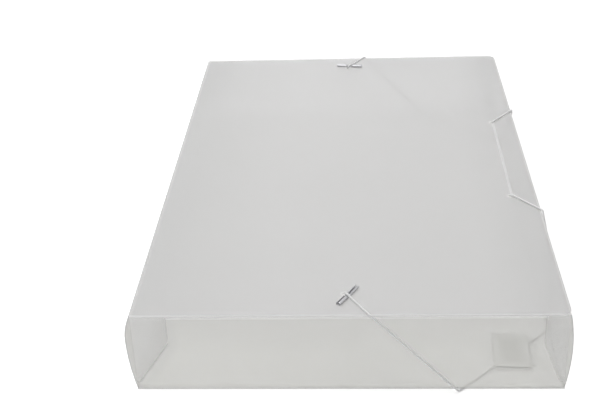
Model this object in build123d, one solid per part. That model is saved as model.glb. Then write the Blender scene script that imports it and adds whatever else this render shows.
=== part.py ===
from build123d import *
import os

# Archive box folded from one frosted polypropylene sheet, with a hinged lid and elastic cord loops, in millimetres.
# While it is modelled, X runs from the spine to the fore edge, Y from the front end to the rear end, and Z upward.

# Sheet and overall size
width = 235.0             # from the spine fold to the fore-edge fold
length = 370.0            # from the front end to the rear end
depth = 49.5              # from the underside of the base to the top of the closed lid
sheet = 0.8               # thickness of the polypropylene
fold_radius = 0.6         # outside of the folds round the base

# Long walls, which bow outward between their folds
spine_bow = 3.6
spine_crest = 33.0        # height of the spine wall's widest line
fore_bow = 2.4
fore_crest = 26.0

# Corner tabs, folded in from the long walls behind the end walls
tab_foot = 5.0            # height at which a tab starts
tab_shoulder = 30.0       # height above which its inner edge is upright
spine_tab_width = 20.0
spine_tab_toe = 3.0       # width at the foot
fore_tab_width = 13.0
fore_tab_toe = 3.0
end_wall_inset = 0.3      # from each fold to the end wall's cut side

# Lid
lid_overhang = 0.6        # beyond each end wall
lid_fore_overhang = 0.3
lid_corner_radius = 6.0
lid_edge_radius = 0.25
lid_seat_gap = 0.1        # between the walls' top edges and the closed lid
crease_gap = 0.05         # between the crease and the lid's edge
crease_neck = 0.4

# Elastic cord, which lies just off the sheet
cord_diameter = 1.2
cord_gap = 0.1
hole_diameter = 3.0
hole_side_gap = 0.1       # between the cord and the side of the hole that it is pulled against
knot_diameter = 4.4
knot_height = 2.6
fore_hole_inset = 15.0    # from the fore edge to the cord in the two holes there
fore_hole_from_end = 130.0
lid_edge_step = 12.0      # from the bar towards the fore edge, where the cord crosses the lid's end edge
base_end_from_fore = 57.3   # where it crosses the base's end fold, from the fore edge
base_fore_from_end = 57.0   # where it crosses the base's fore fold, from the end
lid_fore_from_end = 110.0   # where it crosses the lid's fore edge, from the end
level_run = 0.6           # past the bar's waist before the cord dips
landing_run = 4.0         # past the waist to where it lies on the lid
hole_bend = 0.9           # centreline radii of its bends, here into and out of a hole
dip_bend = 8.0
cut_edge_bend = 1.5
fold_bend = 2.5
wall_bend = 60.0

# T-bars, rolled from steel strip and squeezed flat in the middle
bar_length = 20.0
bar_width = 3.0
bar_height = 1.8
bar_strip = 0.4
bar_corner = 0.8
bar_slit = 0.5
bar_from_end = 18.0       # from the end wall to the bar's middle
bar_seat_gap = 0.02       # between the bar and the lid
waist_length = 3.8
waist_width = 1.8
waist_height = 0.5
waist_root = 0.4          # how far the flat middle runs into each rolled half
swivel_room = 0.4         # between the waist and the cord as it rises behind it
front_bar_turn = 60.0     # from X, seen from above
rear_bar_turn = -8.0

# Blank sticker on the base
label_width = 20.5
label_length = 31.5
label_thickness = 0.12
label_corner = 1.5
label_from_fore = 14.4    # to the middle of its near side, and so below
label_from_end = 18.5
label_turn = -2.9         # stuck on by hand, a little askew

# Levels and lines that follow from the sizes
cord_radius = cord_diameter / 2
cord_offset = cord_radius + cord_gap
lid_underside = depth - sheet
wall_top = lid_underside - lid_seat_gap
lid_middle = depth - sheet / 2
crease_x = sheet / 2
bar_x = width / 2
over_waist = depth + bar_seat_gap + waist_height + cord_offset
on_lid = depth + cord_offset
fore_cord_x = width - fore_hole_inset

# The frame's origin is at the bottom centre of the whole box, cord and all
farthest_fore = width + fore_bow + cord_offset + cord_radius
middle_x = (farthest_fore - spine_bow) / 2
to_frame = Pos(-middle_x, -length / 2, cord_offset + cord_radius)

pieces = {}


def block(x0, x1, y0, y1, z0, z1):
    return Pos(x0, y0, z0) * Box(x1 - x0, y1 - y0, z1 - z0, align=(Align.MIN, Align.MIN, Align.MIN))


def along_y(edges, y0, y1):
    """Pulls a closed outline, drawn in the X-Z plane, from y0 to y1."""
    outline = Pos(0, y0, 0) * Face(Wire(edges))
    return extrude(outline, amount=y1 - y0, dir=(0, 1, 0))


def bowed_line(foot_x, out, bow, crest):
    """Two arcs from the base to the wall's top, upright where they meet at the crest."""
    peak = Vector(foot_x + out * bow, 0, crest)
    lower = Edge.make_tangent_arc(peak, Vector(0, 0, -1), Vector(foot_x, 0, sheet))
    upper = Edge.make_tangent_arc(peak, Vector(0, 0, 1), Vector(foot_x, 0, wall_top))
    return [lower, upper]


def long_wall(fold_x, out, bow, crest):
    inner_x = fold_x - out * sheet
    outer = bowed_line(fold_x, out, bow, crest)
    inner = bowed_line(inner_x, out, bow, crest)
    foot = Edge.make_line((fold_x, 0, sheet), (inner_x, 0, sheet))
    top = Edge.make_line((fold_x, 0, wall_top), (inner_x, 0, wall_top))
    return along_y(outer + inner + [foot, top], sheet, length - sheet)


def corner_tab(fold_x, out, bow, crest, reach, toe, y0):
    """A tab between the long wall's inner face and a cut edge that slants in towards its foot."""
    inner_x = fold_x - out * sheet
    reach_x = fold_x - out * reach
    toe_x = fold_x - out * toe
    beyond_x = fold_x + out * 2 * bow
    corners = [
        (beyond_x, 0, tab_foot), (toe_x, 0, tab_foot), (reach_x, 0, tab_shoulder),
        (reach_x, 0, wall_top), (beyond_x, 0, wall_top),
    ]
    plate = along_y(Polyline(*corners, close=True).edges(), y0, y0 + sheet)
    centre_x = width / 2
    room = bowed_line(inner_x, out, bow, crest) + [
        Edge.make_line((inner_x, 0, wall_top), (centre_x, 0, wall_top)),
        Edge.make_line((centre_x, 0, wall_top), (centre_x, 0, sheet)),
        Edge.make_line((centre_x, 0, sheet), (inner_x, 0, sheet)),
    ]
    return plate & along_y(room, y0, y0 + sheet)


def cord(points, radii):
    path = FilletPolyline(*points, radius=radii)
    section = Plane(origin=path @ 0, z_dir=path % 0) * Circle(cord_radius)
    tube = sweep(section, path=path)
    drift = tube.volume / (section.area * path.length) - 1
    print(f"cord {path.length:.1f} long, bend radii {radii}, volume off by {drift:+.2%}")
    return tube


# Tray: base, long walls, end walls and tabs
base = block(0, width, 0, length, 0, sheet)
base = fillet(base.faces().sort_by(Axis.Z)[0].edges(), fold_radius)
pieces["base_panel"] = base
pieces["spine_wall"] = long_wall(0, -1, spine_bow, spine_crest)
pieces["fore_edge_wall"] = long_wall(width, 1, fore_bow, fore_crest)
for end, wall_y, tab_y in (("front", 0, sheet), ("rear", length - sheet, length - 2 * sheet)):
    side_x = width - end_wall_inset
    pieces[f"{end}_end_wall"] = block(end_wall_inset, side_x, wall_y, wall_y + sheet, sheet, wall_top)
    pieces[f"{end}_spine_tab"] = corner_tab(
        0, -1, spine_bow, spine_crest, spine_tab_width, spine_tab_toe, tab_y)
    pieces[f"{end}_fore_tab"] = corner_tab(
        width, 1, fore_bow, fore_crest, fore_tab_width, fore_tab_toe, tab_y)

# Crease on which the lid turns: a round bead on a neck that stands on the spine wall
bead = Pos(crease_x, length / 2, lid_middle) * Rot(90, 0, 0) * Cylinder(sheet / 2, length)
neck = block(crease_x - crease_neck / 2, crease_x + crease_neck / 2, 0, length, wall_top, lid_middle)
pieces["lid_crease"] = bead + neck

# Bars and the holes behind them
front_bar = Vector(bar_x, bar_from_end)
lid_end_crossing = Vector(bar_x + lid_edge_step, -lid_overhang)
run_direction = (lid_end_crossing - front_bar).normalized()
cord_behind_bar = waist_width / 2 + cord_offset + swivel_room
cord_rise = front_bar - run_direction * cord_behind_bar
cord_to_hole_middle = hole_diameter / 2 - cord_radius - hole_side_gap
bar_hole = cord_rise - run_direction * cord_to_hole_middle
fore_hole_x = fore_cord_x - cord_to_hole_middle

# Lid, with its fore corners rounded and four cord holes
lid_hinge_side = crease_x + sheet / 2 + crease_gap
lid = block(lid_hinge_side, width + lid_fore_overhang, -lid_overhang, length + lid_overhang, lid_underside, depth)
lid = fillet(lid.edges().filter_by(Axis.Z).sort_by(Axis.X)[-2:], lid_corner_radius)
rims = [edge for edge in lid.edges().filter_by(Axis.Z, reverse=True) if edge.center().X > width / 4]
lid = fillet(rims, lid_edge_radius)
for hole_x, hole_y in ((bar_hole.X, bar_hole.Y), (fore_hole_x, fore_hole_from_end)):
    for y in (hole_y, length - hole_y):
        lid -= Pos(hole_x, y, lid_middle) * Cylinder(hole_diameter / 2, 2 * sheet)
pieces["lid_panel"] = lid

# T-bars
outer = Pos(0, bar_height / 2) * RectangleRounded(bar_width, bar_height, bar_corner)
inner = Pos(0, bar_height / 2) * RectangleRounded(
    bar_width - 2 * bar_strip, bar_height - 2 * bar_strip, bar_corner - bar_strip)
slit = Pos(0, bar_height) * Rectangle(bar_slit, bar_height)
rolled = Plane.YZ * (outer - inner - slit)
half_length = (bar_length - waist_length) / 2
right_half = Pos(waist_length / 2, 0, 0) * extrude(rolled, amount=half_length)
waist = Pos(0, 0, waist_height / 2) * Box(waist_length + 2 * waist_root, waist_width, waist_height)
t_bar = right_half + mirror(right_half, about=Plane.YZ) + waist
for end, turn, y in (("front", front_bar_turn, bar_from_end), ("rear", rear_bar_turn, length - bar_from_end)):
    pieces[f"{end}_t_bar"] = Pos(bar_x, y, depth + bar_seat_gap) * Rot(0, 0, turn) * t_bar

# Front loop of cord: up through the lid, over the bar, round the fore corner of the box and back into the lid
past_bar = front_bar + run_direction * (waist_width / 2 + level_run)
down_on_lid = front_bar + run_direction * (waist_width / 2 + landing_run)
below_base = -cord_offset
beyond_fore = width + cord_offset
base_fore_y = base_fore_from_end
lid_fore_y = lid_fore_from_end
rise_low = fore_crest / 2
rise_high = (fore_crest + wall_top) / 2
climb = lid_fore_y - base_fore_y
loop_points = [
    (cord_rise.X, cord_rise.Y, lid_middle),
    (cord_rise.X, cord_rise.Y, over_waist),
    (past_bar.X, past_bar.Y, over_waist),
    (down_on_lid.X, down_on_lid.Y, on_lid),
    (lid_end_crossing.X, -lid_overhang - cord_offset, on_lid),
    (width - base_end_from_fore, -cord_offset, below_base),
    (beyond_fore, base_fore_y, below_base),
    (beyond_fore + fore_bow, base_fore_y + climb * rise_low / depth, rise_low),
    (beyond_fore + fore_bow, base_fore_y + climb * rise_high / depth, rise_high),
    (beyond_fore + lid_fore_overhang, lid_fore_y, on_lid),
    (fore_cord_x, fore_hole_from_end, on_lid),
    (fore_cord_x, fore_hole_from_end, lid_middle),
]
loop_radii = [
    hole_bend, dip_bend, dip_bend, cut_edge_bend, fold_bend, fold_bend,
    wall_bend, wall_bend, cut_edge_bend, hole_bend,
]
front_loop = cord(loop_points, loop_radii)
pieces["front_cord_loop"] = front_loop
pieces["rear_cord_loop"] = mirror(front_loop, about=Plane.XZ.offset(-length / 2))

# The same cord between the fore-edge holes, inside the lid
under_lid = lid_underside - cord_offset
inside_points = [
    (fore_cord_x, fore_hole_from_end, lid_middle),
    (fore_cord_x, fore_hole_from_end, under_lid),
    (fore_cord_x, length - fore_hole_from_end, under_lid),
    (fore_cord_x, length - fore_hole_from_end, lid_middle),
]
pieces["lid_cord_run"] = cord(inside_points, [hole_bend, hole_bend])

# Knots that stop the cord's ends inside the lid
knot_middle = lid_underside - cord_gap - knot_height / 2
tail = Pos(0, 0, (lid_middle + knot_middle) / 2) * Cylinder(cord_radius, lid_middle - knot_middle)
ball = Pos(0, 0, knot_middle) * scale(Sphere(knot_diameter / 2), (1, 1, knot_height / knot_diameter))
for end, y in (("front", cord_rise.Y), ("rear", length - cord_rise.Y)):
    pieces[f"{end}_cord_knot"] = Pos(cord_rise.X, y, 0) * (ball + tail)

# Sticker
label_x = width - label_from_fore - label_width / 2
label_y = label_from_end + label_length / 2
label = extrude(RectangleRounded(label_width, label_length, label_corner), amount=label_thickness)
pieces["base_label"] = Pos(label_x, label_y, sheet) * Rot(0, 0, label_turn) * label

os.makedirs("parts", exist_ok=True)
for name, piece in pieces.items():
    placed = to_frame * piece
    placed.label = name
    export_step(placed, f"parts/{name}.step")
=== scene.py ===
import math

import bpy
from mathutils import Matrix, Vector


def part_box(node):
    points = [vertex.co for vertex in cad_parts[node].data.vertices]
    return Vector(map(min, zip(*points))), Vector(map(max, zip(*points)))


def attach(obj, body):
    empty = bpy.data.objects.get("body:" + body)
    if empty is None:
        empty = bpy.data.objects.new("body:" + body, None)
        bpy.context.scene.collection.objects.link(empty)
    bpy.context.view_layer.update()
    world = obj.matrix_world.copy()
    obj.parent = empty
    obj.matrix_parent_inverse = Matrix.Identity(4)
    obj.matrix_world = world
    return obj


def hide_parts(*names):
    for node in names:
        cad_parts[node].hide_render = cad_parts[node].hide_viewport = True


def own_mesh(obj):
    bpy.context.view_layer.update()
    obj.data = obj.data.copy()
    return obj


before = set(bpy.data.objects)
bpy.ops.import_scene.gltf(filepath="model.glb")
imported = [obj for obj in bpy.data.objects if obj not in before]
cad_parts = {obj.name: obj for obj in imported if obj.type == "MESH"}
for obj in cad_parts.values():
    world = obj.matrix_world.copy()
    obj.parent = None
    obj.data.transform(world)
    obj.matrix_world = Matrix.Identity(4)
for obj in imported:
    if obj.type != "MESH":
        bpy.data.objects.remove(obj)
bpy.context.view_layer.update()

MM = 0.001                     # lengths are written in millimetres, and the scene is in metres

# The photograph's camera
CAMERA_PLACE = Vector((7.35, -660.2, 380.5)) * MM
CAMERA_PITCH = 29.065          # degrees below level
CAMERA_YAW = -3.904            # degrees clockwise from +Y
CAMERA_ROLL = -2.508           # degrees by which its right side is raised
CAMERA_LENS = 66.24
CAMERA_SENSOR = 36             # the width that the lens goes with
CAMERA_NEAREST = 0.01          # metres

# Elastic cord
CORD_RADIUS = 0.6
CORD_SIDES = 20
CORD_STEP = 0.2                # between rings
CORD_FINENESS = 24             # points of its smooth line for each point of its route
STRANDS = 4                    # each way round
STRAND_PITCH = 0.8             # along the cord, from one strand to the next
STRAND_RELIEF = 0.07           # depth of the gaps between strands

# The front loop's route: up through the lid, over the bar, round the fore corner and back into the lid.
# The cord is pulled tight, so there is a point close to each side of every edge that it bends over.
FRONT_LOOP_ROUTE = [
    (-1.134, -165.319, 50.4),
    (-1.134, -165.319, 52.02),
    (0.763, -168.260, 52.02),
    (2.606, -171.117, 51.5),
    (10.95, -184.7, 51.5),
    (11.95, -186.3, 51.5),
    (13.6, -186.28, 49.75),
    (58.6, -185.72, 2.25),
    (60.15, -185.7, 0.6),
    (61.75, -184.1, 0.6),
    (116.65, -129.5, 0.6),
    (118.15, -128.0, 0.6),
    (118.45, -126.3, 2.2),
    (120.55, -114.08, 14.3),
    (120.55, -88.06, 38.6),
    (118.75, -76.1, 49.8),
    (118.45, -75.0, 51.5),
    (117.2, -73.44, 51.5),
    (103.7, -56.56, 51.5),
    (102.45, -55.0, 51.5),
    (102.45, -55.0, 50.4),
]
# The same cord between the two fore holes, inside the lid
INNER_RUN_ROUTE = [
    (102.45, -55.0, 50.4),
    (102.45, -55.0, 49.3),
    (102.45, -53.8, 49.3),
    (102.45, 53.8, 49.3),
    (102.45, 55.0, 49.3),
    (102.45, 55.0, 50.4),
]

# Overhand knot inside the lid: the cord goes twice round a ring and winds in and out of it three times
KNOT_RING = 1.0                # radius of the ring
KNOT_WIND = 0.5                # how far the cord winds in and out
KNOT_LIFT = 0.62               # and up and down
KNOT_HALF_HEIGHT = 1.3
KNOT_ENTRY = (1.8, 1.2)        # heights of the cord's way in, above the knot's middle
KNOT_STARTS = math.pi / 3      # where on its course the cord comes in
KNOT_POINTS = 30

# T-bar rolled from steel strip
BAR_HALF_LENGTH = 10.0
ROLLED_HALF = (1.5, 0.9)       # half width and half height of its rolled ends
WAIST_HALF = (0.9, 0.25)       # and of its squeezed waist
ROLLED_SQUARENESS = 2.7        # 2 is an ellipse, and more is squarer
WAIST_SQUARENESS = 5.0
WAIST_ENDS = 1.35              # from the bar's middle to where the strip starts to open
ROLLED_STARTS = 2.7            # and to where it is fully rolled
STRIP = 0.4                    # its thickness
STRIP_IN_WAIST = 0.9           # share of the waist's half height that the strip fills
SLIT_AT_WAIST = 1.0            # half angle of the slit, in degrees
SLIT_WIDENS = 13.0             # how much more it is in a rolled end
BAR_ROLLS = (-13.0, 9.0)       # how far each half's slit lies from the top, in degrees
BAR_TURNS = {"front": 60.0, "rear": -8.0}
SECTION_STEPS = 36             # round one side of the strip
ROLLED_STATIONS = (1, 0.985, 0.9, 0.75, 0.6, 0.45)     # sections of a rolled end, as shares of its reach
WAIST_STEP = 0.15              # between the sections near the middle
WAIST_STATIONS = 20            # how many of them lie on each side of it
END_ROUNDED = 0.06             # share by which the last section is drawn in

# Corner tabs, whose free edge is upright above a shoulder and slanted below it
TAB_SIDES = {"spine": -1.0, "fore": 1.0}       # which way along X each lies
TAB_SHOULDER = 31.3
TAB_TOE_IN = 2.7               # from the edge of the end wall to the foot of the slanted edge
SHOULDER_ROUNDING = 2.0

# Cord holes of the lid's rear half, which its front half mirrors
LID_HOLES = ((-1.57, 164.65), (101.65, 55.0))
HOLE_RADIUS = 1.5

# Sticker
LABEL_HALF = (10.25, 15.75)
LABEL_TURN = -2.9              # degrees
LABEL_TOOTH = 1.1              # half the pitch of its serrated near side


def box_in_mm(node):
    return [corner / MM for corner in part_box(node)]


def aim_camera():
    pitch, yaw, roll = (math.radians(angle) for angle in (CAMERA_PITCH, CAMERA_YAW, CAMERA_ROLL))
    ahead = Vector((math.sin(yaw) * math.cos(pitch), math.cos(yaw) * math.cos(pitch), -math.sin(pitch)))
    level_right = Vector((math.cos(yaw), -math.sin(yaw), 0))
    level_up = level_right.cross(ahead)
    right = level_right * math.cos(roll) + level_up * math.sin(roll)
    up = -level_right * math.sin(roll) + level_up * math.cos(roll)
    camera = bpy.data.objects.new("camera", bpy.data.cameras.new("camera"))
    bpy.context.scene.collection.objects.link(camera)
    camera.data.sensor_width = CAMERA_SENSOR
    camera.data.lens = CAMERA_LENS
    camera.data.clip_start = CAMERA_NEAREST
    turn = Matrix((right, up, -ahead)).transposed()
    camera.matrix_world = Matrix.Translation(CAMERA_PLACE) @ turn.to_4x4()
    bpy.context.scene.camera = camera


# Meshes

def new_piece(name, vertices, faces, material, body, node):
    mesh = bpy.data.meshes.new(name)
    mesh.from_pydata([Vector(vertex) * MM for vertex in vertices], [], faces)
    mesh.validate()
    mesh.shade_smooth()
    mesh.materials.append(material)
    piece = bpy.data.objects.new(name, mesh)
    bpy.context.scene.collection.objects.link(piece)
    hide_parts(node)
    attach(piece, body)
    return piece


def smooth_line(route):
    """Points along the smooth spline that has the route's points as its control points."""
    curve = bpy.data.curves.new("cord line", "CURVE")
    curve.dimensions = "3D"
    curve.resolution_u = CORD_FINENESS
    spline = curve.splines.new("NURBS")
    spline.points.add(len(route) - 1)
    for point, place in zip(spline.points, route):
        point.co = (*place, 1)
    spline.order_u = 3
    spline.use_endpoint_u = True
    holder = bpy.data.objects.new("cord line", curve)
    mesh = bpy.data.meshes.new_from_object(holder)
    line = [vertex.co.copy() for vertex in mesh.vertices]
    bpy.data.objects.remove(holder)
    bpy.data.curves.remove(curve)
    bpy.data.meshes.remove(mesh)
    return line


def evenly_spaced(line, step):
    """The same line with its points a steady step apart."""
    lengths = [0.0]
    for start, end in zip(line, line[1:]):
        lengths.append(lengths[-1] + (end - start).length)
    count = max(2, round(lengths[-1] / step))
    spaced = []
    index = 0
    for number in range(count + 1):
        wanted = lengths[-1] * number / count
        while index < len(line) - 2 and lengths[index + 1] < wanted:
            index += 1
        span = lengths[index + 1] - lengths[index]
        share = (wanted - lengths[index]) / span if span else 0.0
        spaced.append(line[index].lerp(line[index + 1], share))
    return spaced


def strand_height(turn, along):
    """How far the braid stands out, from 0 to 1: its strands wind both ways and cross over and under."""
    one_way = STRANDS * turn + along / STRAND_PITCH
    other_way = STRANDS * turn - along / STRAND_PITCH
    over = (math.floor(one_way) + math.floor(other_way)) % 2 == 0
    return abs(math.sin(math.pi * (one_way if over else other_way)))


def braided_tube(line):
    """Vertices, faces and strand heights of a braided cord along a line."""
    line = evenly_spaced(line, CORD_STEP)
    vertices, heights, faces = [], [], []
    side = None
    for number, middle in enumerate(line):
        before = line[max(number - 1, 0)]
        after = line[min(number + 1, len(line) - 1)]
        ahead = (after - before).normalized()
        if side is None:
            side = ahead.orthogonal().normalized()
        side = (side - ahead * side.dot(ahead)).normalized()
        other = ahead.cross(side)
        for corner in range(CORD_SIDES):
            turn = corner / CORD_SIDES
            height = strand_height(turn, number * CORD_STEP)
            radius = CORD_RADIUS - STRAND_RELIEF * (1 - height)
            angle = 2 * math.pi * turn
            vertices.append(middle + (side * math.cos(angle) + other * math.sin(angle)) * radius)
            heights.append(height)
    for ring in range(len(line) - 1):
        start, end = ring * CORD_SIDES, (ring + 1) * CORD_SIDES
        for corner in range(CORD_SIDES):
            following = (corner + 1) % CORD_SIDES
            faces.append((start + corner, start + following, end + following, end + corner))
    last = (len(line) - 1) * CORD_SIDES
    faces.append(tuple(reversed(range(CORD_SIDES))))
    faces.append(tuple(range(last, last + CORD_SIDES)))
    return vertices, faces, heights


def cord_piece(name, line, body, node):
    vertices, faces, heights = braided_tube(line)
    piece = new_piece(name, vertices, faces, cord_finish(), body, node)
    strand = piece.data.attributes.new("strand", "FLOAT", "POINT")
    strand.data.foreach_set("value", heights)
    return piece


def mirrored(route):
    return [(x, -y, z) for x, y, z in route]


def make_loops():
    for end, route in (("front", FRONT_LOOP_ROUTE), ("rear", mirrored(FRONT_LOOP_ROUTE))):
        loop = cord_piece(f"{end}_elastic_loop", smooth_line(route), f"{end}_loop", f"{end}_cord_loop")
        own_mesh(loop)


def make_inner_run():
    cord_piece("elastic_inside_lid", smooth_line(INNER_RUN_ROUTE), "lid", "lid_cord_run")


def knot_line(place):
    """The cord's way down from its hole and round an overhand knot."""
    route = [place + Vector((0, 0, height)) for height in KNOT_ENTRY]
    for number in range(1, KNOT_POINTS):
        turn = KNOT_STARTS + 2 * math.pi * number / KNOT_POINTS
        reach = KNOT_RING + KNOT_WIND * math.cos(3 * turn)
        height = -KNOT_LIFT * math.sin(3 * turn)
        route.append(place + Vector((reach * math.cos(2 * turn), reach * math.sin(2 * turn), height)))
    return smooth_line(route)


def make_knots():
    for end in ("front", "rear"):
        low, high = box_in_mm(f"{end}_cord_knot")
        middle = (low + high) / 2
        place = Vector((middle.x, middle.y, low.z + KNOT_HALF_HEIGHT))
        cord_piece(f"{end}_tied_knot", knot_line(place), "lid", f"{end}_cord_knot")


def ease(value, low, high):
    """0 below low, 1 above high, and a smooth rise between."""
    share = min(max((value - low) / (high - low), 0), 1)
    return share * share * (3 - 2 * share)


def rounded_square(angle, squareness):
    """A point of a shape between a circle and a square, of half width 1."""
    across, upward = math.cos(angle), math.sin(angle)
    power = 2 / squareness
    return math.copysign(abs(across) ** power, across), math.copysign(abs(upward) ** power, upward)


def bar_section(along):
    """The strip's outline at one place along the bar: round its outside, then back round its inside."""
    opened = ease(abs(along), WAIST_ENDS, ROLLED_STARTS)
    half_width = WAIST_HALF[0] + opened * (ROLLED_HALF[0] - WAIST_HALF[0])
    half_height = WAIST_HALF[1] + opened * (ROLLED_HALF[1] - WAIST_HALF[1])
    squareness = WAIST_SQUARENESS + opened * (ROLLED_SQUARENESS - WAIST_SQUARENESS)
    roll = BAR_ROLLS[0] if along < 0 else BAR_ROLLS[1]
    slit = math.radians(90 + roll * opened)
    gap = math.radians(SLIT_AT_WAIST + SLIT_WIDENS * opened)
    strip = min(STRIP, half_height * STRIP_IN_WAIST)
    outside, inside = [], []
    for number in range(SECTION_STEPS + 1):
        angle = slit + gap + (2 * math.pi - 2 * gap) * number / SECTION_STEPS
        across, upward = rounded_square(angle, squareness)
        outside.append((across * half_width, upward * half_height + half_height))
        inside.append((across * (half_width - strip), upward * (half_height - strip) + half_height))
    return outside + inside[::-1]


def bar_stations():
    """Where the bar has its sections, from one end to the other."""
    rolled = [BAR_HALF_LENGTH * share for share in ROLLED_STATIONS]
    waist = [number * WAIST_STEP for number in range(-WAIST_STATIONS, WAIST_STATIONS + 1)]
    return [-station for station in rolled] + waist + rolled[::-1]


def bar_mesh():
    """Vertices and faces of a bar that lies along X with its underside at 0."""
    stations = bar_stations()
    vertices, faces = [], []
    for station in stations:
        rounded = END_ROUNDED if abs(station) == BAR_HALF_LENGTH else 0
        for across, upward in bar_section(station):
            lift = upward + (ROLLED_HALF[1] - upward) * rounded
            vertices.append((station, across * (1 - rounded), lift))
    count = len(vertices) // len(stations)
    for ring in range(len(stations) - 1):
        start, beyond = ring * count, (ring + 1) * count
        for corner in range(count):
            following = (corner + 1) % count
            faces.append((start + corner, beyond + corner, beyond + following, start + following))
    for ring, flip in ((0, False), (len(stations) - 1, True)):
        start = ring * count
        for corner in range(count // 2 - 1):
            inside = count - 1 - corner
            face = (start + corner, start + corner + 1, start + inside - 1, start + inside)
            faces.append(face[::-1] if flip else face)
    return vertices, faces


def make_bars():
    vertices, faces = bar_mesh()
    for end, degrees in BAR_TURNS.items():
        low, high = box_in_mm(f"{end}_t_bar")
        middle = (low + high) / 2
        place = Vector((middle.x, middle.y, low.z))
        turn = Matrix.Rotation(math.radians(degrees), 3, "Z")
        turned = [turn @ Vector(vertex) + place for vertex in vertices]
        new_piece(
            f"{end}_rolled_bar", turned, faces, bar_finish(end), f"{end}_bar", f"{end}_t_bar")


# Node trees

MIX_SHARE, MIX_FIRST, MIX_SECOND = 0, 6, 7     # inputs of a mix of colours
MIX_RESULT = 2


class Nodes:
    """Adds nodes to one tree. An input is a plain value or another node's output."""

    def __init__(self, tree):
        self.tree = tree

    def feed(self, socket, value):
        if isinstance(value, bpy.types.NodeSocket):
            self.tree.links.new(value, socket)
        else:
            socket.default_value = value

    def add(self, kind, inputs=None, **settings):
        node = self.tree.nodes.new(kind)
        for name, value in settings.items():
            setattr(node, name, value)
        for key, value in (inputs or {}).items():
            self.feed(node.inputs[key], value)
        return node

    def math(self, operation, *values):
        return self.add("ShaderNodeMath", dict(enumerate(values)), operation=operation).outputs[0]

    def vectors(self, operation, *values):
        return self.add("ShaderNodeVectorMath", dict(enumerate(values)), operation=operation).outputs

    def scaled(self, vector, share):
        inputs = {"Vector": vector, "Scale": share}
        return self.add("ShaderNodeVectorMath", inputs, operation="SCALE").outputs[0]

    def turned(self, vector, degrees):
        inputs = {"Vector": vector, "Angle": math.radians(degrees)}
        return self.add("ShaderNodeVectorRotate", inputs, rotation_type="Z_AXIS").outputs[0]

    def along_axes(self, vector):
        return self.add("ShaderNodeSeparateXYZ", {0: vector}).outputs

    def noise(self, place, scale, detail):
        inputs = {"Vector": place, "Scale": scale, "Detail": detail}
        return self.add("ShaderNodeTexNoise", inputs).outputs[0]

    def rising(self, value, start, full):
        """0 up to the start, 1 from where it is full, and a smooth rise between."""
        inputs = {"Value": value, "From Min": start, "From Max": full}
        return self.add("ShaderNodeMapRange", inputs, interpolation_type="SMOOTHSTEP").outputs[0]

    def effect(self, group, **inputs):
        node = self.add("ShaderNodeGroup", node_tree=group)
        for name, value in inputs.items():
            self.feed(node.inputs[name.replace("_", " ")], value)
        return node.outputs[0]

    def seen(self):
        """1 for what the camera sees, straight or by gloss or glass, and 0 for light on the object."""
        rays = self.add("ShaderNodeLightPath").outputs
        straight_or_gloss = self.math("MAXIMUM", rays["Is Camera Ray"], rays["Is Glossy Ray"])
        return self.math("MAXIMUM", straight_or_gloss, rays["Is Transmission Ray"])


def new_effect(name, inputs, output, kind="NodeSocketFloat"):
    """A node group with these inputs and one output. Gives its nodes, what they read and what they feed."""
    tree = bpy.data.node_groups.new(name, "ShaderNodeTree")
    for label, value in inputs.items():
        size = len(value) if isinstance(value, tuple) else 1
        socket_kind = {1: "NodeSocketFloat", 3: "NodeSocketVector", 4: "NodeSocketColor"}[size]
        socket = tree.interface.new_socket(label, in_out="INPUT", socket_type=socket_kind)
        socket.default_value = value
    tree.interface.new_socket(output, in_out="OUTPUT", socket_type=kind)
    nodes = Nodes(tree)
    given = nodes.add("NodeGroupInput").outputs
    result = nodes.add("NodeGroupOutput").inputs[0]
    return nodes, given, result


def sand_grain():
    """Height of a fine pressed grain, with finer and fainter grains among the others."""
    nodes, given, result = new_effect(
        "sand grain", {"Place": (0.0, 0.0, 0.0), "Size": 0.4, "Depth": 0.01}, "Height")
    finer_by, fainter_by = 2.7, 0.4
    per_grain = nodes.math("DIVIDE", 1.0, given["Size"])
    coarse = nodes.noise(given["Place"], per_grain, 1.0)
    fine = nodes.noise(given["Place"], nodes.math("MULTIPLY", per_grain, finer_by), 1.0)
    both = nodes.math("MULTIPLY_ADD", fine, fainter_by, coarse)
    nodes.feed(result, nodes.math("MULTIPLY", both, given["Depth"]))
    return nodes.tree


def soft_clouding():
    """A share, about 1, by which a colour drifts over a wide distance."""
    nodes, given, result = new_effect(
        "soft clouding", {"Place": (0.0, 0.0, 0.0), "Spread": 60.0, "Amount": 0.03}, "Share")
    clouds = nodes.noise(given["Place"], nodes.math("DIVIDE", 1.0, given["Spread"]), 2.0)
    both_ways = nodes.math("MULTIPLY", nodes.math("SUBTRACT", clouds, 0.5), 2.0)
    nodes.feed(result, nodes.math("MULTIPLY_ADD", both_ways, given["Amount"], 1.0))
    return nodes.tree


def near_line():
    """Mask that is 1 within a half width of a place on a scale and fades out past it."""
    nodes, given, result = new_effect(
        "near line", {"Value": 0.0, "Middle": 0.0, "Half Width": 1.0, "Fade": 1.0}, "Mask")
    away = nodes.math("ABSOLUTE", nodes.math("SUBTRACT", given["Value"], given["Middle"]))
    past = nodes.math("DIVIDE", nodes.math("SUBTRACT", away, given["Half Width"]), given["Fade"])
    falling = nodes.add(
        "ShaderNodeMapRange", {"Value": past, "To Min": 1.0, "To Max": 0.0}, interpolation_type="SMOOTHSTEP")
    nodes.feed(result, falling.outputs[0])
    return nodes.tree


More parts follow.
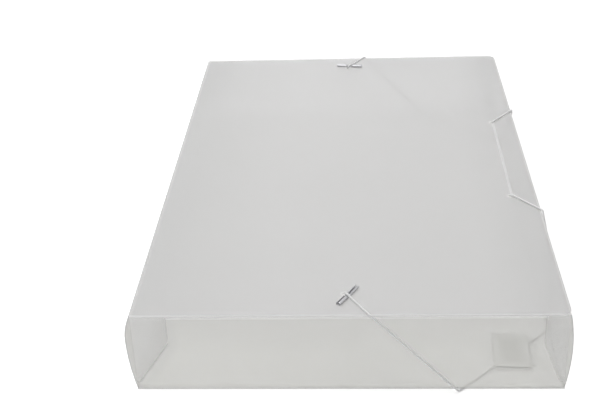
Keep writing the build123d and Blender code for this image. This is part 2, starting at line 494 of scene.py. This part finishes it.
def tinted():
    """A colour that a mask turns towards a tint."""
    white = (1.0, 1.0, 1.0, 1.0)
    inputs = {"Colour": white, "Mask": 0.0, "Tint": white, "Strength": 1.0}
    nodes, given, result = new_effect("tinted", inputs, "Colour", "NodeSocketColor")
    share = nodes.math("MULTIPLY", given["Mask"], given["Strength"])
    mix = nodes.add(
        "ShaderNodeMix", {MIX_SHARE: share, MIX_FIRST: given["Colour"], MIX_SECOND: given["Tint"]},
        data_type="RGBA")
    nodes.feed(result, mix.outputs[MIX_RESULT])
    return nodes.tree


SAND_GRAIN = sand_grain()
SOFT_CLOUDING = soft_clouding()
NEAR_LINE = near_line()
TINTED = tinted()


class Finish(Nodes):
    """A material on one Principled shader, with places measured in millimetres on the resting part."""

    def __init__(self, name, **settings):
        self.material = bpy.data.materials.new(name)
        self.material.use_nodes = True
        super().__init__(self.material.node_tree)
        self.shader = self.tree.nodes["Principled BSDF"]
        for label, value in settings.items():
            self.feed(self.shader.inputs[label.replace("_", " ")], value)
        spot = self.add("ShaderNodeTexCoord").outputs
        self.place = self.scaled(spot["Object"], 1 / MM)
        self.x, self.y, self.z = self.along_axes(self.place)
        self.normal = self.along_axes(spot["Normal"])
        self.colour = None

    def start_colour(self, colour, spread=70.0, amount=0.02):
        share = self.effect(SOFT_CLOUDING, Place=self.place, Spread=spread, Amount=amount)
        self.colour = self.scaled(colour, share)

    def tint(self, mask, colour, strength):
        self.colour = self.effect(
            TINTED, Colour=self.colour, Mask=mask, Tint=(*colour, 1.0), Strength=strength)

    def close_to(self, value, middle, half_width, fade):
        return self.effect(NEAR_LINE, Value=value, Middle=middle, Half_Width=half_width, Fade=fade)

    def bump(self, height, distance, strength=1.0):
        inputs = {"Strength": strength, "Distance": distance, "Height": height}
        self.feed(self.shader.inputs["Normal"], self.add("ShaderNodeBump", inputs).outputs[0])

    def grain(self, size, depth):
        self.bump(self.effect(SAND_GRAIN, Place=self.place, Size=size, Depth=depth), MM)

    def done(self):
        self.feed(self.shader.inputs["Base Color"], self.colour)
        return self.material


# Materials

# Tones of the one sheet plastic: the tabs' is lighter and the lid's darker than the walls', as painted light
# and painted shade that even out how the lamp lights them
TRAY_TONE = (0.673, 0.668, 0.633)
BASE_TONE = (0.77, 0.765, 0.73)
TAB_TONE_WITH_PAINTED_LIGHT = (0.97, 0.955, 0.9)
LID_TONE = (0.571, 0.568, 0.574)
# Whitened sheet: strain whitening at the lid's holes and hinge crease, and painted light along the lid's rim
# and the tops of the end walls
WHITENED_AND_LIT_TONE = (0.82, 0.82, 0.82)
# Painted highlight, on the lid's cut edges and over the cord inside the lid
HIGHLIGHT_TONE = (0.97, 0.97, 0.97)
SHADED = (0.42, 0.42, 0.42)

# Share of what lies behind it that each sheet hides
WALL_COVER = 0.5
BASE_COVER = 0.58
TAB_COVER = 0.7
CREASE_COVER = 0.7
LID_COVER = 0.72
SLANT_ADDS = 0.18              # hidden on top of that where the sheet is seen at a slant
SLANT_BLEND = 0.3
CUT_ADDS = 0.4                 # at a cut edge
FOOT_ADDS = 0.3                # at the foot of an end wall
BACKED_ADDS = -0.45            # where a tab backs the end wall, because the two show as one sheet

# Share of its cover by which each sheet holds back the light
LIGHT_HELD = 0.3
LID_LIGHT_HELD = 0.12
TAB_LIGHT_HELD = 0.0

# Soft shades: how far each reaches, and its strength
TOP_SHADE = (28.0, 0.3)        # down an end wall from its top
TAB_SHADE = (9.0, 0.04)        # into a tab from its free edge
BESIDE_TAB_SHADES = {"spine": (8.0, 0.25), "fore": (20.0, 0.4)}        # out from that edge, on the end wall
LID_SHADES = ((-25.0, -120.0, 0.4), (72.0, 108.0, 0.27))               # from where to where across the lid
BASE_FOLD_SHADES = {"long": 0.15, "end": 0.8}  # strengths alone

# Where a tab backs it, an end wall clears over these distances from the tab's slanted edge and its foot
BACKED_FADES = {"spine": 1.8, "fore": 0.3}
BACKED_RISE = 0.8

# Sticker, from the rim to the middle, and its teeth
RIM_TONE = (0.4, 0.4, 0.39)
PALE_BAND_TONE = (0.97, 0.97, 0.95)
STICKER_TONE = (0.88, 0.88, 0.855)
STICKER_MIDDLE_TONE = (0.76, 0.76, 0.74)
TEETH_TONE = (0.2, 0.2, 0.19)

BRAID_TONE = (0.9, 0.9, 0.905)
# painted shade in the gaps between the strands
BETWEEN_STRANDS_SHADE = (0.6, 0.6, 0.61)
PLATING_TONE = (0.5, 0.5, 0.515)
DRAW_LINES = (0.35, 9.0, 9.0)  # fineness of the bar's draw lines, along it and across it
DRAW_LINE_DEPTH = 0.02


def frosted(name, tone):
    """The sheet plastic: light glows through it, and what lies behind it shows faintly."""
    finish = Finish(
        name, Roughness=0.48, IOR=1.49, Subsurface_Weight=1.0, Subsurface_Radius=(1.0, 1.0, 1.0),
        Subsurface_Scale=0.004)
    finish.start_colour(tone)
    finish.grain(size=0.45, depth=0.008)
    return finish


def see_through(finish, cover, denser=0.0, light_held=LIGHT_HELD):
    """Lets a sheet hide a share of what is behind it, on its outer faces alone, so that it counts once."""
    facing_away = finish.add("ShaderNodeNewGeometry").outputs["Backfacing"]
    slant = finish.add("ShaderNodeLayerWeight", {"Blend": SLANT_BLEND}).outputs["Facing"]
    in_shadow = finish.add("ShaderNodeLightPath").outputs["Is Shadow Ray"]
    cover = finish.math("MULTIPLY_ADD", slant, SLANT_ADDS, cover)
    cover = finish.math("MINIMUM", finish.math("ADD", cover, denser), 1.0)
    light = finish.math("MULTIPLY_ADD", in_shadow, light_held - 1, 1.0)
    outer = finish.math("SUBTRACT", 1.0, facing_away)
    shown = finish.math("MULTIPLY", finish.math("MULTIPLY", cover, light), outer)
    finish.feed(finish.shader.inputs["Alpha"], shown)


def inside_tab(finish, wall):
    """How far a place lies in from a tab's upright edge, and from its slanted edge."""
    side = TAB_SIDES[wall]
    tab_low, tab_high = box_in_mm(f"front_{wall}_tab")
    wall_low, wall_high = box_in_mm("front_end_wall")
    shoulder = min(side * tab_low.x, side * tab_high.x)
    toe = max(side * wall_low.x, side * wall_high.x) - TAB_TOE_IN
    run, rise = TAB_SHOULDER - tab_low.z, toe - shoulder
    slope = math.hypot(run, rise)
    outward = finish.math("MULTIPLY", finish.x, side)
    upright = finish.math("SUBTRACT", outward, shoulder)
    sideways = finish.math("MULTIPLY", finish.math("SUBTRACT", outward, toe), run / slope)
    above_foot = finish.math("SUBTRACT", finish.z, tab_low.z)
    slanted = finish.math("MULTIPLY_ADD", above_foot, rise / slope, sideways)
    return upright, slanted


def shade_along_tab(finish, upright, slanted, reach, strength):
    """Soft shade on both sides of a tab's free edge."""
    inward = finish.math("SMOOTH_MIN", upright, slanted, SHOULDER_ROUNDING)
    finish.tint(finish.close_to(inward, 0.0, half_width=0.5, fade=reach), SHADED, strength)


def base_finish():
    finish = frosted("base sheet", BASE_TONE)
    _, high = box_in_mm("base_panel")
    for value, edge, fold in ((finish.x, high.x, "long"), (finish.y, high.y, "end")):
        near_fold = finish.close_to(finish.math("ABSOLUTE", value), edge, half_width=0.5, fade=1.2)
        finish.tint(near_fold, SHADED, BASE_FOLD_SHADES[fold])
    see_through(finish, BASE_COVER)
    return finish.done()


def long_wall_finish():
    finish = frosted("long wall sheet", TRAY_TONE)
    low, _ = box_in_mm("spine_wall")
    # Painted shade: darker on the spine side, on the walls' cut ends and along their foot
    finish.tint(finish.rising(finish.x, start=1.0, full=-1.0), SHADED, strength=0.25)
    cut_ends = finish.rising(finish.math("ABSOLUTE", finish.normal["Y"]), start=0.4, full=0.8)
    finish.tint(cut_ends, SHADED, strength=0.6)
    finish.tint(finish.close_to(finish.z, low.z, half_width=0.4, fade=1.0), SHADED, strength=0.4)
    see_through(finish, WALL_COVER, finish.math("MULTIPLY", cut_ends, CUT_ADDS))
    return finish.done()


def end_wall_finish():
    """The sheet of an end wall, which clears where a tab backs it."""
    finish = frosted("end wall sheet", TRAY_TONE)
    low, high = box_in_mm("front_end_wall")
    # Painted shade along the foot, down from the top and beside each tab
    foot = finish.close_to(finish.z, low.z, half_width=0.2, fade=0.8)
    finish.tint(foot, SHADED, strength=0.5)
    top_reach, top_strength = TOP_SHADE
    finish.tint(finish.rising(finish.z, high.z - top_reach, high.z), SHADED, top_strength)
    backed = 0.0
    for wall, fade in BACKED_FADES.items():
        upright, slanted = inside_tab(finish, wall)
        shade_along_tab(finish, upright, slanted, *BESIDE_TAB_SHADES[wall])
        past_upright = finish.rising(upright, start=-0.2, full=0.4)
        past_slanted = finish.rising(slanted, start=-0.2, full=fade)
        backed = finish.math("MAXIMUM", backed, finish.math("MULTIPLY", past_upright, past_slanted))
    tab_low, _ = box_in_mm("front_fore_tab")
    above_foot = finish.rising(finish.z, tab_low.z, tab_low.z + BACKED_RISE)
    backed = finish.math("MULTIPLY", backed, above_foot)
    # Painted light: a lighter band along the top, under the lid's edge
    finish.tint(finish.close_to(finish.z, high.z, half_width=1.2, fade=0.6), WHITENED_AND_LIT_TONE, strength=0.8)
    denser = finish.math("MULTIPLY_ADD", backed, BACKED_ADDS, finish.math("MULTIPLY", foot, FOOT_ADDS))
    see_through(finish, WALL_COVER, denser)
    return finish.done()


def tab_finish(wall):
    """The sheet of a corner tab, lighter than the wall as painted light, and of the wall's own tone past the
    fold.
    """
    finish = frosted(f"{wall} tab sheet", TAB_TONE_WITH_PAINTED_LIGHT)
    _, high = box_in_mm("front_end_wall")
    shade_along_tab(finish, *inside_tab(finish, wall), *TAB_SHADE)
    past_fold = finish.rising(finish.math("ABSOLUTE", finish.x), high.x - 0.5, high.x + 0.5)
    finish.tint(past_fold, TRAY_TONE, strength=0.8)
    see_through(finish, TAB_COVER, light_held=TAB_LIGHT_HELD)
    return finish.done()


def over_inner_run(finish):
    """Mask along the strip of the lid that the cord inside it presses on."""
    cord_x, run_end, _ = INNER_RUN_ROUTE[-2]
    return finish.math(
        "MULTIPLY", finish.close_to(finish.x, cord_x, half_width=0.5, fade=0.6),
        finish.close_to(finish.y, 0.0, half_width=run_end, fade=0.6))


def lid_finish():
    """The lid's sheet, whitened at its crease and holes, with painted shade along its sides and painted
    highlights on its rim, its cut edges and where the inner cord presses on it.
    """
    finish = frosted("lid sheet", LID_TONE)
    low, high = box_in_mm("lid_panel")
    along = finish.math("ABSOLUTE", finish.y)
    for start, full, strength in LID_SHADES:
        finish.tint(finish.rising(finish.x, start, full), SHADED, strength)
    level = finish.rising(finish.math("ABSOLUTE", finish.normal["Z"]), start=0.5, full=0.97)
    cut = finish.math("SUBTRACT", 1.0, level)
    rim = finish.math(
        "MAXIMUM", finish.close_to(along, high.y, half_width=0.8, fade=0.5),
        finish.close_to(finish.x, high.x, half_width=0.8, fade=0.5))
    # Painted highlight along the rim and on the cut edges
    finish.tint(rim, WHITENED_AND_LIT_TONE, strength=0.35)
    finish.tint(cut, HIGHLIGHT_TONE, strength=1.0)
    finish.tint(finish.close_to(finish.x, low.x, half_width=0.6, fade=1.4), WHITENED_AND_LIT_TONE, strength=0.2)
    one_half = finish.add("ShaderNodeCombineXYZ", {"X": finish.x, "Y": along}).outputs[0]
    for x, y in LID_HOLES:
        away = finish.vectors("DISTANCE", one_half, (x, y, 0.0))["Value"]
        finish.tint(finish.close_to(away, HOLE_RADIUS, half_width=0.3, fade=1.1), WHITENED_AND_LIT_TONE, strength=0.6)
    # Painted highlight over the cord inside the lid, where the lid also hides more of what lies behind
    pressed = over_inner_run(finish)
    finish.tint(pressed, HIGHLIGHT_TONE, strength=0.45)
    over_cord_share = 0.6
    denser = finish.math("MAXIMUM", cut, rim)
    denser = finish.math("MAXIMUM", denser, finish.math("MULTIPLY", pressed, over_cord_share))
    see_through(finish, LID_COVER, finish.math("MULTIPLY", denser, CUT_ADDS), LID_LIGHT_HELD)
    return finish.done()


def crease_finish():
    finish = frosted("crease sheet", LID_TONE)
    _, high = box_in_mm("lid_crease")
    finish.tint(finish.close_to(finish.z, high.z, half_width=0.3, fade=0.5), WHITENED_AND_LIT_TONE, strength=0.3)
    see_through(finish, CREASE_COVER)
    return finish.done()


def label_finish():
    """A blank sticker of coated paper, with a pale band inside its cut rim and darker towards its middle."""
    finish = Finish("blank sticker", Roughness=0.55, IOR=1.45)
    finish.start_colour(STICKER_TONE, spread=6.0, amount=0.03)
    low, high = box_in_mm("base_label")
    centred = finish.vectors("SUBTRACT", finish.place, (low + high) / 2)["Vector"]
    across, along, _ = finish.along_axes(finish.turned(centred, -LABEL_TURN))
    from_sides = finish.math("SUBTRACT", LABEL_HALF[0], finish.math("ABSOLUTE", across))
    from_ends = finish.math("SUBTRACT", LABEL_HALF[1], finish.math("ABSOLUTE", along))
    inward = finish.math("MINIMUM", from_sides, from_ends)
    finish.tint(finish.close_to(inward, 1.6, half_width=0.8, fade=1.2), PALE_BAND_TONE, strength=0.8)
    finish.tint(finish.rising(inward, start=3.0, full=8.0), STICKER_MIDDLE_TONE, strength=0.8)
    finish.tint(finish.close_to(inward, 0.0, half_width=0.35, fade=0.3), RIM_TONE, strength=0.32)
    tooth_depth = 0.3
    teeth = finish.math("PINGPONG", across, LABEL_TOOTH)
    cut = finish.math("MULTIPLY_ADD", teeth, tooth_depth, from_ends)
    serrated = finish.close_to(cut, 0.0, half_width=0.5, fade=0.3)
    near_side = finish.math("LESS_THAN", along, 0.0)
    finish.tint(finish.math("MULTIPLY", serrated, near_side), TEETH_TONE, strength=0.8)
    finish.grain(size=0.3, depth=0.006)
    return finish.done()


def cord_finish():
    """White braided elastic, with painted shade between its strands, and a little fuzzy. All its pieces
    share it.
    """
    if "braided elastic" in bpy.data.materials:
        return bpy.data.materials["braided elastic"]
    finish = Finish(
        "braided elastic", Roughness=0.75, Sheen_Weight=0.25, Sheen_Roughness=0.5, Subsurface_Weight=0.9,
        Subsurface_Radius=(1.0, 1.0, 1.0), Subsurface_Scale=0.0011)
    finish.start_colour(BRAID_TONE, spread=9.0, amount=0.02)
    strand = finish.add("ShaderNodeAttribute", attribute_name="strand").outputs["Fac"]
    between = finish.close_to(strand, 0.0, half_width=0.15, fade=0.4)
    finish.tint(between, BETWEEN_STRANDS_SHADE, strength=0.45)
    finish.grain(size=0.12, depth=0.02)
    return finish.done()


def bar_finish(end):
    """Plated strip with fine draw lines along the bar."""
    finish = Finish(f"{end} bar plating", Metallic=1.0)
    finish.start_colour(PLATING_TONE, spread=4.0, amount=0.1)
    along_bar = finish.turned(finish.place, -BAR_TURNS[end])
    lines = finish.noise(finish.vectors("MULTIPLY", along_bar, DRAW_LINES)["Vector"], 1.0, 3.0)
    roughness = finish.add("ShaderNodeMapRange", {"Value": lines, "To Min": 0.16, "To Max": 0.42})
    finish.feed(finish.shader.inputs["Roughness"], roughness.outputs[0])
    finish.bump(lines, DRAW_LINE_DEPTH * MM, strength=0.6)
    return finish.done()


def dress_sheets():
    end_wall, long_wall = end_wall_finish(), long_wall_finish()
    finishes = {
        "base_panel": base_finish(),
        "lid_panel": lid_finish(),
        "lid_crease": crease_finish(),
        "spine_wall": long_wall,
        "fore_edge_wall": long_wall,
        "front_end_wall": end_wall,
        "rear_end_wall": end_wall,
        "base_label": label_finish(),
    }
    for wall in TAB_SIDES:
        tab = tab_finish(wall)
        for end in ("front", "rear"):
            finishes[f"{end}_{wall}_tab"] = tab
    for name, material in finishes.items():
        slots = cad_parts[name].data.materials
        slots.clear()
        slots.append(material)


# Light and floor, in metres

WORLD_LEVEL = 0.42
LAMP_PLACE = Vector((-0.4, 0.35, 1.35))
LAMP_SIZE = 1.2
LAMP_POWER = 11.5
FLOOR_HALF = 3.0
FLOOR_TONE = (0.9, 0.9, 0.9)
FLOOR_GLOW = 0.45              # added where the floor is seen, so that it shows white


def light_world():
    world = bpy.data.worlds.new("studio")
    world.use_nodes = True
    bpy.context.scene.world = world
    nodes = Nodes(world.node_tree)
    level = nodes.math("MULTIPLY_ADD", nodes.seen(), 1 - WORLD_LEVEL, WORLD_LEVEL)
    background = world.node_tree.nodes["Background"]
    background.inputs["Color"].default_value = (1, 1, 1, 1)
    nodes.feed(background.inputs["Strength"], level)


def hang_lamp():
    lamp = bpy.data.lights.new("high lamp", "AREA")
    lamp.size = LAMP_SIZE
    lamp.energy = LAMP_POWER
    holder = bpy.data.objects.new("high lamp", lamp)
    bpy.context.scene.collection.objects.link(holder)
    holder.location = LAMP_PLACE
    holder.rotation_mode = "QUATERNION"
    holder.rotation_quaternion = (-LAMP_PLACE).to_track_quat("-Z", "Y")


def lay_floor():
    corners = [(x * FLOOR_HALF, y * FLOOR_HALF, 0) for x, y in ((-1, -1), (1, -1), (1, 1), (-1, 1))]
    mesh = bpy.data.meshes.new("floor")
    mesh.from_pydata(corners, [], [(0, 1, 2, 3)])
    floor = bpy.data.objects.new("floor", mesh)
    bpy.context.scene.collection.objects.link(floor)
    finish = Finish("white floor", Roughness=0.9, Emission_Color=(1, 1, 1, 1))
    finish.start_colour(FLOOR_TONE, spread=400.0, amount=0.005)
    glow = finish.math("MULTIPLY", finish.seen(), FLOOR_GLOW)
    finish.feed(finish.shader.inputs["Emission Strength"], glow)
    mesh.materials.append(finish.done())


aim_camera()
make_loops()
make_inner_run()
make_knots()
make_bars()
dress_sheets()
light_world()
hang_lamp()
lay_floor()
bpy.context.scene.view_settings.view_transform = "Standard"
